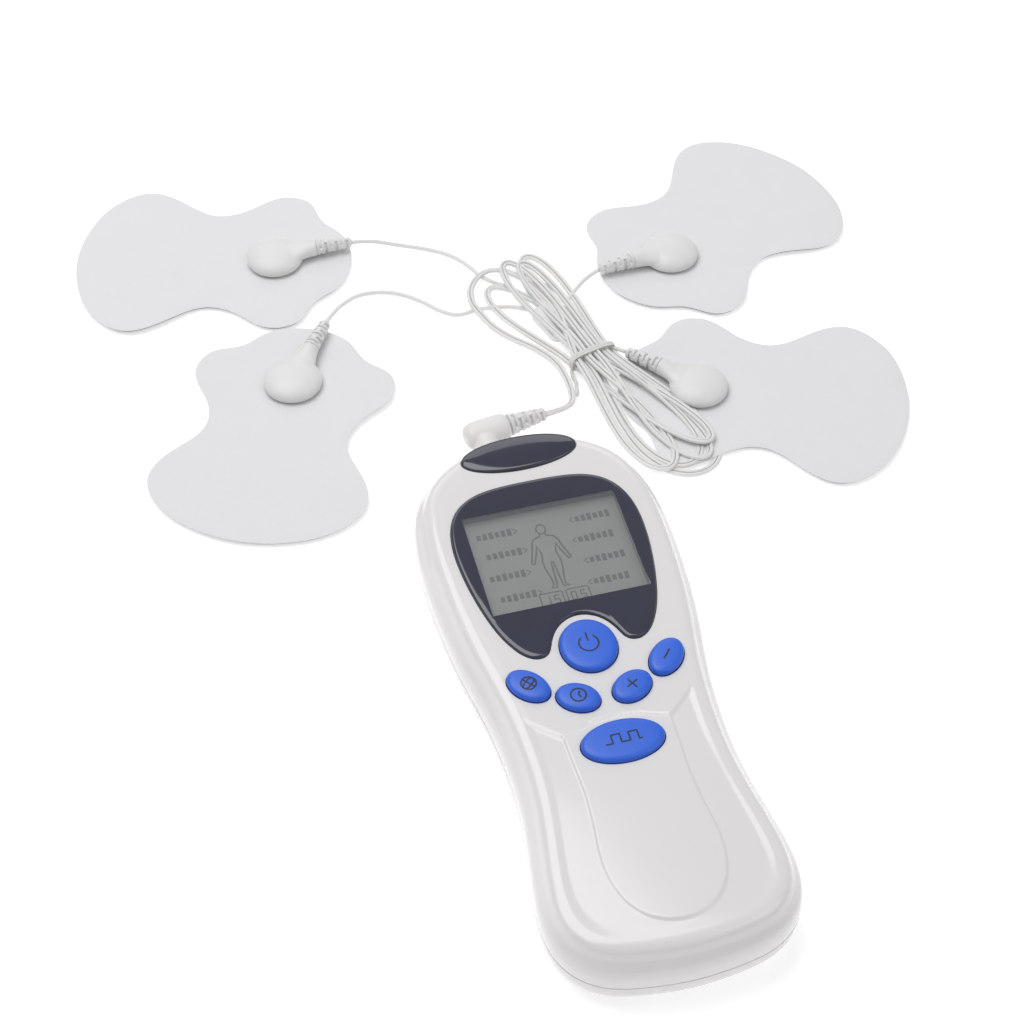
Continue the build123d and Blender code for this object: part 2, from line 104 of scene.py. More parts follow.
BRANCH_ROUTES = [                        # from each connector's boot to the hank
    [(-23.4, 186.3, 4.4), (-17.6, 186.2, 4.0), (-9.5, 184.2, 1.9), (-0.5, 181.2, 0.8),
     (6.2, 176.4, 0.8), (10.2, 170, 0.9), (12.6, 163.6, 1.0)],
    [(-38.3, 153.0, 4.4), (-35.2, 157.2, 3.9), (-31.2, 162.4, 2.0), (-25, 166.8, 0.8),
     (-15.6, 165.4, 0.8), (-8, 159.4, 0.8), (-2.6, 152.2, 0.8), (2.4, 149.6, 0.8),
     (7.2, 151.2, 0.8)],
    [(47.1, 154.9, 4.4), (43.2, 153.6, 3.8), (38.4, 150.4, 2.4), (34.0, 146.2, 1.2)],
    [(44.9, 118.6, 4.4), (41.6, 121.8, 4.1), (38.4, 126.0, 3.5), (36.6, 132.4, 2.6),
     (35.2, 137.6, 1.2)],
]


# ---------------------------------------------------------------- curves and outlines
CLOSED_SPAN_STEPS = 40                   # steps between two points of an outline
OPEN_SPAN_STEPS = 16


def mirrored(half):
    """A closed outline from its right half, which starts and ends on the Y axis."""
    return half + [(-x, y) for x, y in half[-2:0:-1]]


def evenly(points, count, closed):
    """The same line with its points evenly spaced."""
    if closed:
        points = np.vstack([points, points[:1]])
    run = np.r_[0, np.cumsum(np.linalg.norm(np.diff(points, axis=0), axis=1))]
    at = np.linspace(0, run[-1], count + 1 if closed else count)[:count]
    return np.stack([np.interp(at, run, column) for column in points.T], 1)


def closed_curve(points, count):
    """Cubic spline with even curvature through a closed outline's points."""
    p = np.array(points, float)
    n = len(p)
    after = np.roll(p, -1, 0)
    span = np.linalg.norm(after - p, axis=1)
    system = np.zeros((n, n))
    slopes = (after - p) / span[:, None]
    for i in range(n):
        system[i, i - 1] += span[i - 1]
        system[i, i] += 2 * (span[i - 1] + span[i])
        system[i, (i + 1) % n] += span[i]
    bend = np.linalg.solve(system, 6 * (slopes - np.roll(slopes, 1, 0)))
    fine = []
    for i in range(n):
        j = (i + 1) % n
        for t in np.linspace(0, 1, CLOSED_SPAN_STEPS, endpoint=False):
            s = 1 - t
            curve = ((s ** 3 - s) * bend[i] + (t ** 3 - t) * bend[j]) * span[i] ** 2 / 6
            fine.append(s * p[i] + t * p[j] + curve)
    return evenly(np.array(fine), count, True)


def open_curve(points, count):
    """Catmull-Rom curve through the points."""
    p = np.array(points, float)
    p = np.vstack([2 * p[0] - p[1], p, 2 * p[-1] - p[-2]])
    fine = []
    for a, b, c, d in zip(p, p[1:], p[2:], p[3:]):
        for t in np.linspace(0, 1, OPEN_SPAN_STEPS, endpoint=False):
            fine.append(0.5 * (2 * b + (c - a) * t + (2 * a - 5 * b + 4 * c - d) * t * t
                               + (3 * b - a - 3 * c + d) * t ** 3))
    fine.append(p[-2])
    return evenly(np.array(fine), count, False)


def inset(outline, distance):
    """Move a closed outline's points inwards, square to it."""
    along = np.roll(outline, -1, 0) - np.roll(outline, 1, 0)
    along /= np.linalg.norm(along, axis=1)[:, None]
    x, y = outline.T
    area = np.sum(x * np.roll(y, -1) - y * np.roll(x, -1))
    side = -1 if area < 0 else 1
    return outline + distance * side * np.stack([-along[:, 1], along[:, 0]], 1)


def ellipse(half_x, half_y, count, centre=(0, 0), turn=0):
    angle = np.linspace(0, 2 * math.pi, count, endpoint=False)
    x, y = half_x * np.cos(angle), half_y * np.sin(angle)
    c, s = math.cos(math.radians(turn)), math.sin(math.radians(turn))
    return np.stack([centre[0] + c * x - s * y, centre[1] + s * x + c * y], 1)


def level(outline, z):
    """A ring of 3-D points from a plan outline; z is a number or one per point."""
    return np.column_stack([outline, np.broadcast_to(z, len(outline))])


def smoothstep(low, high, x):
    t = np.clip((x - low) / (high - low), 0, 1)
    return t * t * (3 - 2 * t)


def line_distance(points, line):
    """Distance from each point to an open line."""
    best = np.full(len(points), 1e9)
    for a, b in zip(line, line[1:]):
        step = b - a
        t = np.clip((points - a) @ step / (step @ step), 0, 1)
        best = np.minimum(best, np.linalg.norm(points - a - t[:, None] * step, axis=1))
    return best


def inside(points, polygon):
    """Which of the points lie in the polygon."""
    x, y = points.T
    result = np.zeros(len(points), bool)
    for (x0, y0), (x1, y1) in zip(polygon, np.roll(polygon, -1, 0)):
        if y0 == y1:
            continue
        crosses = (y0 > y) != (y1 > y)
        result ^= crosses & (x < (x1 - x0) * (y - y0) / (y1 - y0) + x0)
    return result


# ---------------------------------------------------------------- meshes
def loft(rings, closed=False, caps=True):
    """Points and faces of a skin over rings of the same count."""
    count = len(rings[0])
    points = np.vstack(rings)
    faces = []
    pairs = len(rings) if closed else len(rings) - 1
    for k in range(pairs):
        a, b = k * count, (k + 1) % len(rings) * count
        for i in range(count):
            j = (i + 1) % count
            faces.append((a + i, a + j, b + j, b + i))
    if caps and not closed:
        faces.append(tuple(range(count))[::-1])
        faces.append(tuple((len(rings) - 1) * count + i for i in range(count)))
    return points, faces


def joined(shapes):
    """Several shapes as one, not merged."""
    points, faces = [], []
    start = 0
    for shape_points, shape_faces in shapes:
        points.append(np.asarray(shape_points, float))
        faces += [tuple(start + i for i in face) for face in shape_faces]
        start += len(shape_points)
    return np.vstack(points), faces


def lathe_x(profile, count=40):
    """Skin turned about the X axis from (x, radius) pairs."""
    circle = ellipse(1, 1, count)
    return loft([np.column_stack([np.full(count, x), circle * r]) for x, r in profile])


def lathe_z(profile, count=72):
    """Skin turned about the Z axis from (radius, z) pairs."""
    return loft([level(ellipse(r, r, count), z) for r, z in profile])


def make_mesh(name, shape, merge=0.0):
    points, faces = shape
    mesh = bpy.data.meshes.new(name)
    mesh.from_pydata((np.asarray(points) * MM).tolist(), [], faces)
    work = bmesh.new()
    work.from_mesh(mesh)
    if merge:
        bmesh.ops.remove_doubles(work, verts=work.verts, dist=merge * MM)
        bmesh.ops.dissolve_degenerate(work, edges=work.edges, dist=merge * MM / 10)
    bmesh.ops.recalc_face_normals(work, faces=work.faces)
    work.to_mesh(mesh)
    work.free()
    return mesh


def loose_object(name, mesh):
    obj = bpy.data.objects.new(name, mesh)
    bpy.context.scene.collection.objects.link(obj)
    return obj


def applied(obj):
    """The object's mesh with its modifiers applied."""
    graph = bpy.context.evaluated_depsgraph_get()
    mesh = bpy.data.meshes.new_from_object(obj.evaluated_get(graph))
    obj.modifiers.clear()
    obj.data = mesh
    return mesh


def finish_piece(obj, body, material, sharp=40):
    obj.data.materials.clear()
    obj.data.materials.append(material)
    obj.data.shade_smooth()
    if sharp:
        obj.data.set_sharp_from_angle(angle=math.radians(sharp))
    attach(obj, body)
    return obj


def piece(name, shape, body, material, merge=0.0, sharp=40):
    return finish_piece(loose_object(name, make_mesh(name, shape, merge)), body, material, sharp)


def moulded(shapes, voxel, rounds):
    """One soft-cornered skin over several closed shapes that overlap."""
    obj = loose_object("moulding", make_mesh("moulding", joined(shapes)))
    remesh = obj.modifiers.new("remesh", "REMESH")
    remesh.mode = "VOXEL"
    remesh.voxel_size = voxel * MM
    smooth = obj.modifiers.new("smooth", "SMOOTH")
    smooth.factor = 0.5
    smooth.iterations = rounds
    mesh = applied(obj)
    points = np.array([v.co for v in mesh.vertices]) / MM
    faces = [tuple(p.vertices) for p in mesh.polygons]
    bpy.data.objects.remove(obj)
    return points, faces


def moved(shape, x, y, z, turn):
    """Turn a shape about Z, then move it."""
    c, s = math.cos(math.radians(turn)), math.sin(math.radians(turn))
    points = np.asarray(shape[0]) @ np.array([[c, s, 0], [-s, c, 0], [0, 0, 1]])
    return points + np.array([x, y, z]), shape[1]


RIBBON_THICKNESS = 0.12


def strip(line, width, height, lift=0.0, closed=False):
    """Flat ribbon along a line; height is a function of x and y, for its top face."""
    line = np.array(line, float)
    if closed:
        along = np.roll(line, -1, 0) - np.roll(line, 1, 0)
    else:
        along = np.gradient(line, axis=0)
    along /= np.linalg.norm(along, axis=1)[:, None]
    side = np.stack([-along[:, 1], along[:, 0]], 1) * width / 2
    left, right = line + side, line - side
    rows = []
    thick = RIBBON_THICKNESS
    for edge, drop in ((left, thick), (left, 0), (right, 0), (right, thick)):
        rows.append(level(edge, height(edge) + lift - drop))
    rings = [np.array([row[i] for row in rows]) for i in range(len(line))]
    return loft(rings, closed=closed)


# ---------------------------------------------------------------- materials
class Material:
    """A Principled material with object coordinates and a chain of bumps."""

    def __init__(self, name, colour, roughness, **sockets):
        self.block = bpy.data.materials.new(name)
        self.block.use_nodes = True
        self.tree = self.block.node_tree
        self.shader = self.tree.nodes["Principled BSDF"]
        self.place = self.tree.nodes.new("ShaderNodeTexCoord").outputs["Object"]
        self.colour = colour
        self.shader.inputs["Base Color"].default_value = (*colour, 1)
        self.shader.inputs["Roughness"].default_value = roughness
        for socket, value in sockets.items():
            self.shader.inputs[socket.replace("_", " ")].default_value = value
        self.normal = None

    def texture(self, kind, scale_mm, **settings):
        """A noise or Voronoi texture whose features are about scale_mm across."""
        node = self.tree.nodes.new(kind)
        node.inputs["Scale"].default_value = 1 / (scale_mm * MM)
        for socket, value in settings.items():
            node.inputs[socket].default_value = value
        self.tree.links.new(self.place, node.inputs["Vector"])
        return node

    def ramp(self, source, low, high):
        node = self.tree.nodes.new("ShaderNodeMapRange")
        node.inputs["To Min"].default_value = low
        node.inputs["To Max"].default_value = high
        self.tree.links.new(source, node.inputs["Value"])
        return node.outputs["Result"]

    def mottle(self, scale_mm, amount):
        """Vary the colour between its own and a darker one."""
        node = self.texture("ShaderNodeTexNoise", scale_mm, Detail=4)
        mix = self.tree.nodes.new("ShaderNodeMix")
        mix.data_type = "RGBA"
        mix.inputs["A"].default_value = (*self.colour, 1)
        darker = [c * (1 - amount) for c in self.colour]
        mix.inputs["B"].default_value = (*darker, 1)
        self.tree.links.new(node.outputs["Fac"], mix.inputs["Factor"])
        self.tree.links.new(mix.outputs["Result"], self.shader.inputs["Base Color"])
        return self

    def wear(self, scale_mm, low, high):
        """Vary the roughness."""
        node = self.texture("ShaderNodeTexNoise", scale_mm, Detail=3)
        self.tree.links.new(self.ramp(node.outputs["Fac"], low, high), self.shader.inputs["Roughness"])
        return self

    def bump(self, scale_mm, depth_mm, kind="ShaderNodeTexNoise", output="Fac", **settings):
        """Add a texture's relief to the surface."""
        node = self.texture(kind, scale_mm, **settings)
        bump = self.tree.nodes.new("ShaderNodeBump")
        bump.inputs["Strength"].default_value = 1.0
        bump.inputs["Distance"].default_value = depth_mm * MM
        self.tree.links.new(node.outputs[output], bump.inputs["Height"])
        if self.normal is not None:
            self.tree.links.new(self.normal, bump.inputs["Normal"])
        self.normal = bump.outputs["Normal"]
        self.tree.links.new(self.normal, self.shader.inputs["Normal"])
        return self


def make_materials():
    m = {}
    m["shell"] = Material("white_abs", (0.80, 0.785, 0.785), 0.15, Coat_Weight=0.25, Coat_Roughness=0.08)
    m["shell"].mottle(30, 0.02).wear(14, 0.12, 0.19).bump(0.8, 0.0012)
    m["window"] = Material("navy_acrylic", (0.030, 0.033, 0.062), 0.08, Coat_Weight=0.6, Coat_Roughness=0.03)
    m["window"].mottle(9, 0.25).wear(20, 0.06, 0.11).bump(6, 0.004)
    m["screen"] = Material("lcd_grey", (0.235, 0.24, 0.232), 0.4)
    m["screen"].mottle(16, 0.16).bump(0.28, 0.004, "ShaderNodeTexVoronoi", "Distance")
    m["ink"] = Material("lcd_segments", (0.075, 0.078, 0.075), 0.5).mottle(2, 0.2).bump(0.3, 0.004)
    m["pane"] = Material("clear_pane", (0.62, 0.64, 0.66), 0.04, Alpha=0.1)
    m["pane"].wear(12, 0.03, 0.07)
    m["button"] = Material("blue_satin", (0.022, 0.135, 0.76), 0.36, Coat_Weight=0.12, Coat_Roughness=0.3)
    m["button"].mottle(5, 0.1).wear(4, 0.32, 0.42).bump(0.35, 0.0025)
    m["print"] = Material("black_print", (0.012, 0.013, 0.02), 0.45).mottle(1, 0.3).bump(0.3, 0.003)
    m["lead"] = Material("white_pvc", (0.80, 0.795, 0.785), 0.36, Subsurface_Weight=0.04)
    m["lead"].mottle(6, 0.035).wear(5, 0.3, 0.44).bump(0.6, 0.006)
    m["tie"] = Material("tie_paper", (0.76, 0.76, 0.74), 0.62).mottle(1.5, 0.08).bump(0.4, 0.03)
    m["pad"] = Material("non_woven", (0.80, 0.80, 0.815), 0.8, Sheen_Weight=0.15)
    m["pad"].mottle(9, 0.03).bump(1.1, 0.02, Detail=6)
    m["pad"].bump(0.7, 0.03, "ShaderNodeTexVoronoi", "Distance")
    m["gel"] = Material("hydrogel", (0.30, 0.31, 0.32), 0.3, Subsurface_Weight=0.1)
    m["gel"].mottle(4, 0.15).bump(1.2, 0.02)
    m["metal"] = Material("nickel", (0.60, 0.59, 0.57), 0.28, Metallic=1.0)
    m["metal"].wear(2, 0.2, 0.36).bump(0.5, 0.003)
    m["board"] = Material("solder_mask", (0.03, 0.20, 0.08), 0.35).mottle(3, 0.3).bump(1, 0.01)
    m["cell"] = Material("cell_wrap", (0.10, 0.10, 0.12), 0.3).mottle(8, 0.2).bump(2, 0.01)
    m["dark_plastic"] = Material("black_moulded", (0.045, 0.045, 0.05), 0.5).mottle(3, 0.2).bump(0.5, 0.008)
    return {key: value.block for key, value in m.items()}


# ---------------------------------------------------------------- handset
TONGUE_HALF = [
    (13.6, -19.7), (13.3, -28), (13, -37), (13.6, -46), (14.4, -54), (13.9, -61),
    (11.6, -67.5), (6.8, -72.4), (0, -74.2),
]
SHOULDER = [(40, 5), (24, -10), (20, -14), (13.6, -19.7)]
BRIDGE_HALF = [(13.6, -19.7), (6.6, -17.2), (0, -16.4)]
FACE_TOP = 20.35
PANEL_DROP = 0.42                       # of the panels at both sides of the tongue
SEAM_DEPTH = 0.18
CROWN_HEIGHT = 0.5
RIDGE_SHORTENING = 0.4                  # share by which the face's middle line is shorter than it
SHELL_TOP_Z = 18.3                      # underside of the face
SHELL_INSIDE = [(5, SHELL_TOP_Z), (3.6, 16.4), (2, 12), (1.9, PARTING_Z)]   # inset, height
CUTTER_Z = (13, 30)
BUTTON_GAP = 0.25                       # between a button and its hole
SIDE_PROFILE = [                        # inset, height
    (0.35, 9.0), (0.02, 9.3), (0, 11), (0.1, 13), (0.6, 14.9), (1.45, 16.1), (2.25, 17.2),
    (2.8, 18.4), (3.5, 19.5), (4.7, 20.1), (6.2, 20.3),
]


def mirror_line(half):
    """An open line from its right half, which ends on the Y axis."""
    half = np.array(half, float)
    return np.vstack([half, (half * [-1, 1])[-2::-1]])


def face_height(plan):
    """Height of the front face: a crown, sunk side panels and a seam under the mode button."""
    tongue = open_curve(mirror_line(TONGUE_HALF), 120)
    shoulder = np.array(SHOULDER, float)
    edge = np.vstack([shoulder, tongue[1:-1], (shoulder * [-1, 1])[::-1]])
    panel = np.vstack([edge, [(-60, -120), (60, -120)]])
    depth = line_distance(plan, edge) * np.where(inside(plan, panel), 1, -1)
    sunk = PANEL_DROP * smoothstep(-0.35, 0.35, depth)
    seam = SEAM_DEPTH * (1 - smoothstep(0.1, 0.5, line_distance(plan, mirror_line(BRIDGE_HALF))))
    x, y = plan.T
    crown = CROWN_HEIGHT * (1 - (x / 30) ** 2) * smoothstep(-12, -40, y)
    return FACE_TOP - sunk - seam + crown


def shell_cutters():
    """Prisms through the face for the window, the lens and the buttons."""
    outlines = [inset(closed_curve(mirrored(WINDOW_HALF), 300), -0.05)]
    x, y, half_x, half_y = TOP_LENS
    outlines.append(ellipse(half_x, half_y, 120, (x, y)))
    for x, y, half_x, half_y, turn in BUTTONS.values():
        outlines.append(ellipse(half_x + BUTTON_GAP, half_y + BUTTON_GAP, 96, (x, y), turn))
    return joined([loft([level(outline, z) for z in CUTTER_Z]) for outline in outlines])


def shrunk(outline, share):
    """The outline drawn in towards a line along the Y axis, by a share from 0 to 1."""
    return outline * [1 - share, 1 - RIDGE_SHORTENING * share]


def build_front_shell(materials):
    """The upper half of the case: inside, side and face as one skin, with its holes cut."""
    outline = closed_curve(mirrored(HANDSET_HALF), 640)
    rings = []
    for share in (1.0, 0.5):
        roof = shrunk(inset(outline, SHELL_INSIDE[0][0]), share)
        rings.append(level(roof, SHELL_TOP_Z))
    for distance, z in SHELL_INSIDE:
        rings.append(level(inset(outline, distance), z))
    for distance, z in open_curve(SIDE_PROFILE, 34):
        rings.append(level(inset(outline, distance), z))
    last_inset, join = SIDE_PROFILE[-1]
    last = inset(outline, last_inset)
    for share in np.linspace(0, 1, 100)[1:]:
        plan = shrunk(last, share)
        blend = smoothstep(0, 0.1, share)
        rings.append(level(plan, join + (face_height(plan) - join) * blend))
    shell = loose_object("front_case", make_mesh("front_case", loft(rings, caps=False), merge=0.001))
    cutter = loose_object("cutter", make_mesh("cutter", shell_cutters()))
    cut = shell.modifiers.new("holes", "BOOLEAN")
    cut.operation = "DIFFERENCE"
    cut.solver = "EXACT"
    cut.object = cutter
    applied(shell)
    bpy.data.objects.remove(cutter)
    finish_piece(shell, "handset", materials["shell"], sharp=50)
    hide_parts("front_shell")


WINDOW_TOP = 21.02
WINDOW_RIM = [(0.1, 19.4), (0.1, 20.5), (0.22, 20.78), (0.5, 20.96), (0.95, WINDOW_TOP)]
WINDOW_BULGE = 0.05
OPENING_LOW = 18.6
PANE_Z = (20.5, 20.9)
PANE_GAP = 0.02
LENS_PROFILE = [(0.1, 19.4), (0.1, 20.4), (0.25, 20.75), (0.6, 20.95), (1.2, 21.05), (3, 21.2), (5, 21.28)]


def rectangle_ring(outline, centre, half_x, half_y):
    """Where the rays from the centre to an outline's points cross a rectangle."""
    ray = outline - centre
    reach = np.maximum(abs(ray), 1e-6)
    scale = np.minimum(half_x / reach[:, 0], half_y / reach[:, 1])
    ring = centre + ray * scale[:, None]
    for sx, sy in ((1, 1), (1, -1), (-1, -1), (-1, 1)):
        corner = centre + np.array([sx * half_x, sy * half_y])
        ring[np.argmin(np.linalg.norm(ring - corner, axis=1))] = corner
    return ring


def build_window(materials):
    """The dark frame round the screen, the clear pane in it, and the lens at the top end."""
    outline = closed_curve(mirrored(WINDOW_HALF), 480)
    x, y, width, height = SCREEN
    opening = rectangle_ring(outline, np.array([x, y]), width / 2, height / 2)
    rings = [level(inset(outline, distance), z) for distance, z in WINDOW_RIM]
    inner = inset(outline, WINDOW_RIM[-1][0])
    for share in np.linspace(0, 1, 14)[1:]:
        z = WINDOW_TOP + WINDOW_BULGE * math.sin(math.pi * share)
        rings.append(level(inner + (opening - inner) * share, z))
    rings.append(level(opening, OPENING_LOW))
    window = loft(rings, closed=True)
    window = piece("window_frame", window, "handset", materials["window"], sharp=50)
    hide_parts("display_window")

    corners = np.array([(x + sx * (width / 2 - PANE_GAP), y + sy * (height / 2 - PANE_GAP))
                        for sx, sy in ((1, 1), (1, -1), (-1, -1), (-1, 1))])
    pane = loft([level(corners, z) for z in PANE_Z])
    piece("window_pane", pane, "handset", materials["pane"], sharp=30)

    x, y, half_x, half_y = TOP_LENS
    rings = [level(ellipse(half_x - d, half_y - d, 160, (x, y)), z) for d, z in LENS_PROFILE]
    lens = piece("end_lens", loft(rings), "handset", materials["window"], sharp=50)
    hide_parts("top_lens")


FIGURE_HALF = [
    (0.7, 7.9), (0.9, 7.2), (2.7, 6.6), (3.5, 5.2), (4.1, 2.6), (5.0, -0.2), (5.3, -1.5), (4.7, -1.9),
    (4.1, -0.6), (3.2, 1.8), (2.5, 4.2), (2.1, 2.2), (1.9, 0.8), (2.4, -1.2), (2.3, -4.0), (1.7, -7.2),
    (1.5, -9.6), (2.5, -10.4), (0.8, -10.4), (0.7, -9.2), (0.5, -5.6), (0.3, -2.2), (0, -1.8),
]
FIGURE_PLACE = (-1, 0.6)                  # from the middle of the screen
HEAD_PLACE = (-1, 10.1)
BAR_ROWS = (11.2, 4.2, -3.2, -10.4)
BARS_IN_ROW = 6
BAR_PITCH = 1.65
COUNTERS = ((-4.2, "15"), (2.8, "05"))    # middle of each box, and its digits
DIGIT_PITCH = 2.5
DIGIT_Y = -13.6
INK_LIFT = 0.04                           # over the glass
MARK_WIDTH = {"figure": 0.46, "head": 0.44, "bar": 1.1, "pointer": 0.32, "counter": 0.34, "digit": 0.36}
DIGIT_BARS = {                            # which of a digit's seven bars are dark
    "0": "abcdef", "1": "bc", "5": "acdfg",
}
BAR_LINES = {
    "a": ((-0.6, 1), (0.6, 1)), "b": ((0.6, 1), (0.6, 0)), "c": ((0.6, 0), (0.6, -1)),
    "d": ((0.6, -1), (-0.6, -1)), "e": ((-0.6, -1), (-0.6, 0)), "f": ((-0.6, 0), (-0.6, 1)),
    "g": ((-0.6, 0), (0.6, 0)),
}


def build_screen_marks(materials):
    """Segments of the display: a plain figure, level bars, pointers and two counters."""
    centre_x, centre_y = SCREEN[:2]
    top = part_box("screen_glass")[1].z / MM + INK_LIFT

    def flat(points):
        return np.full(len(points), top)

    def mark(kind, points, closed=False):
        return strip(np.array(points, float) + [centre_x, centre_y], MARK_WIDTH[kind], flat, closed=closed)

    marks = [mark("figure", mirror_line(FIGURE_HALF) + FIGURE_PLACE)]
    marks.append(mark("head", ellipse(1.25, 1.6, 24, HEAD_PLACE), closed=True))
    for side in (-1, 1):
        for row, y in enumerate(BAR_ROWS):
            start = side * (13.4 - row % 2)
            for k in range(BARS_IN_ROW):
                bar_x = start + (k - (BARS_IN_ROW - 1) / 2) * BAR_PITCH
                tall = 1.7 + 0.7 * ((k * 7 + row * 3) % 3) / 2
                marks.append(mark("bar", [(bar_x, y - tall / 2), (bar_x, y + tall / 2)]))
            tip = start - side * 6.2
            marks.append(mark("pointer", [(tip + side, y + 0.8), (tip, y), (tip + side, y - 0.8)]))
    for box_x, digits in COUNTERS:
        counter_line = [(box_x - 3, -16.4), (box_x - 3, -11.6), (box_x - 2.6, -11.2),
                        (box_x + 2.6, -11.2), (box_x + 3, -11.6), (box_x + 3, -16.4)]
        marks.append(mark("counter", counter_line))
        for k, digit in enumerate(digits):
            for bar in DIGIT_BARS[digit]:
                middle = [box_x + (k - 0.5) * DIGIT_PITCH, DIGIT_Y]
                line = np.array(BAR_LINES[bar]) * [1.0, 1.25] + middle
                marks.append(mark("digit", line))
    piece("screen_marks", joined(marks), "handset", materials["ink"], sharp=30)


BUTTON_PROFILE = [                        # inset, height
    (0, 19.0), (0, 21.05), (0.1, 21.35), (0.34, 21.62), (0.8, 21.84), (1.5, 21.97),
]
BUTTON_CROWN = 0.13
SYMBOL_WIDTH = 0.42
SYMBOL_LIFT = 0.03
SYMBOL_STEP = 0.3


def arc(centre, radius, start, end, count=24):
    angles = np.radians(np.linspace(start, end, count))
    return np.stack([centre[0] + radius * np.cos(angles), centre[1] + radius * np.sin(angles)], 1)


def button_symbols():
    """Plain symbols as lines in each button's own plane."""
    loop = arc((0, 0), 1.0, 0, 360, 33)
    power = [arc((0, 0), 2.5, 128, 412), [(0, 0.6), (0, 3.3)]]
    globe = [loop * 1.9, arc((0, 0), 1.9, 90, 270) * [0.45, 1], arc((0, 0), 1.9, -90, 90) * [0.45, 1],
             [(-1.9, 0), (1.9, 0)]]
    clock = [loop * 1.9, [(0, 1.2), (0, 0), (0.9, -0.5)]]
    plus = [[(-1.7, 0), (1.7, 0)], [(0, -1.7), (0, 1.7)]]
    minus = [[(-1.7, 0), (1.7, 0)]]
    pulse = [[(-4.6, -1), (-2.8, -1), (-2.8, 1.5), (-0.6, 1.5), (-0.6, -1), (1.6, -1), (1.6, 1.5),
              (3.8, 1.5), (3.8, -1), (4.6, -1)]]
    return {"power_button": power, "language_button": globe, "time_button": clock,
            "stronger_button": plus, "weaker_button": minus, "mode_button": pulse}


def divided(line, step):
    """The same line with points added along its straight runs."""
    points = []
    for start, end in zip(line, line[1:]):
        count = max(1, int(np.linalg.norm(end - start) / step))
        points += [start + (end - start) * i / count for i in range(count)]
    return np.array(points + [line[-1]])


def build_buttons(materials):
    symbols = button_symbols()
    for name, (x, y, half_x, half_y, turn) in BUTTONS.items():
        rings = [level(ellipse(half_x - d, half_y - d, 112, (x, y), turn), z) for d, z in BUTTON_PROFILE]
        rim_inset, rim_z = BUTTON_PROFILE[-1]
        for share in (0.8, 0.6, 0.4, 0.2, 0.06):
            ring = ellipse((half_x - rim_inset) * share, (half_y - rim_inset) * share, 112, (x, y), turn)
            rings.append(level(ring, rim_z + BUTTON_CROWN * (1 - share ** 2)))
        cap = piece(name + "_cap", loft(rings), name, materials["button"], sharp=0)
        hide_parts(name)

        c, s = math.cos(math.radians(turn)), math.sin(math.radians(turn))
        to_plan = np.array([[c, s], [-s, c]])
        half_axes = np.array([half_x - rim_inset, half_y - rim_inset])

        def crown(points):
            share = np.linalg.norm((points - [x, y]) @ to_plan.T / half_axes, axis=1)
            return rim_z + BUTTON_CROWN * (1 - np.minimum(share, 1) ** 2)

        lines = []
        for line in symbols[name]:
            turned = divided(np.array(line, float), SYMBOL_STEP) @ to_plan + [x, y]
            lines.append(strip(turned, SYMBOL_WIDTH, crown, lift=SYMBOL_LIFT))
        piece(name + "_symbol", joined(lines), name, materials["print"], sharp=30)


# ---------------------------------------------------------------- pads
GEL_MARGIN = 0.7                         # how far the gel stays inside the cloth's edge
GEL_LAYER = (0.0, 0.98, 0.2)             # underside, top, and how much the edge is rounded
CLOTH_LAYER = (1.02, 1.5, 0.12)
SLACK = 0.10
SLACK_WAVE = 34
EDGE_CURL = 1.5
CURL_WAVE = 22


def pad_lift(plan, index, edge):
    """How far a pad's sheet stands off the table: slack waves and a slight curl at its edge."""
    lift = np.zeros(len(plan))
    for i, (x, y) in enumerate(plan):
        wave = noise.noise(Vector((x / SLACK_WAVE, y / SLACK_WAVE, index * 7.3)))
        curl = noise.noise(Vector((x / CURL_WAVE, y / CURL_WAVE, index * 5.1 + 40)))
        lift[i] = SLACK * (1 + wave) + EDGE_CURL * max(0, curl) * edge ** 3
    room = smoothstep(11, 22, np.linalg.norm(plan - [STUD_X, 0], axis=1))
    return lift * room


def pad_layer(index, outline, low, high, edge_round):
    """A thin closed layer with the pad's outline, following the same waves on both faces."""
    centre_line = [0.42, 0]
    shares = np.r_[0, np.linspace(0.03, 1, 22)]

    def side(z, bulge):
        rings = []
        for share in shares:
            plan = outline * (1 - share) + outline * centre_line * share
            dip = edge_round if share == 0 else 0
            rings.append(level(plan, z - bulge * dip + pad_lift(plan, index, 1 - share)))
        return rings

    rings = side(low, -1)[::-1] + side(high, 1)
    return loft(rings, caps=False)


def build_pads(materials):
    half = np.array(PAD_HALF, float)
    outline = closed_curve(np.vstack([half, (half * [1, -1])[-2:0:-1]]), 300)
    for index, (x, y, lobe, _) in enumerate(PADS):
        number = index + 1
        gel = moved(pad_layer(index, inset(outline, GEL_MARGIN), *GEL_LAYER), x, y, 0, lobe)
        gel = piece(f"gel_layer_{number}", gel, f"pad_{number}", materials["gel"], merge=0.001)
        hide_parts(f"pad_gel_{number}")
        cloth = moved(pad_layer(index, outline, *CLOTH_LAYER), x, y, 0, lobe)
        cloth = piece(f"pad_cloth_{number}", cloth, f"pad_{number}", materials["pad"], merge=0.001)
        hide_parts(f"pad_backing_{number}")


# ---------------------------------------------------------------- connectors and plug
NECK_SECTIONS = [                        # x, half width, low and high z
    (0, 6.4, 2.2, 5.8), (4, 5.4, 2.2, 5.7), (8, 3.8, 2.1, 6.0), (11, 2.9, 1.95, 6.6), (13.0, 2.7, 1.9, 6.85),
]
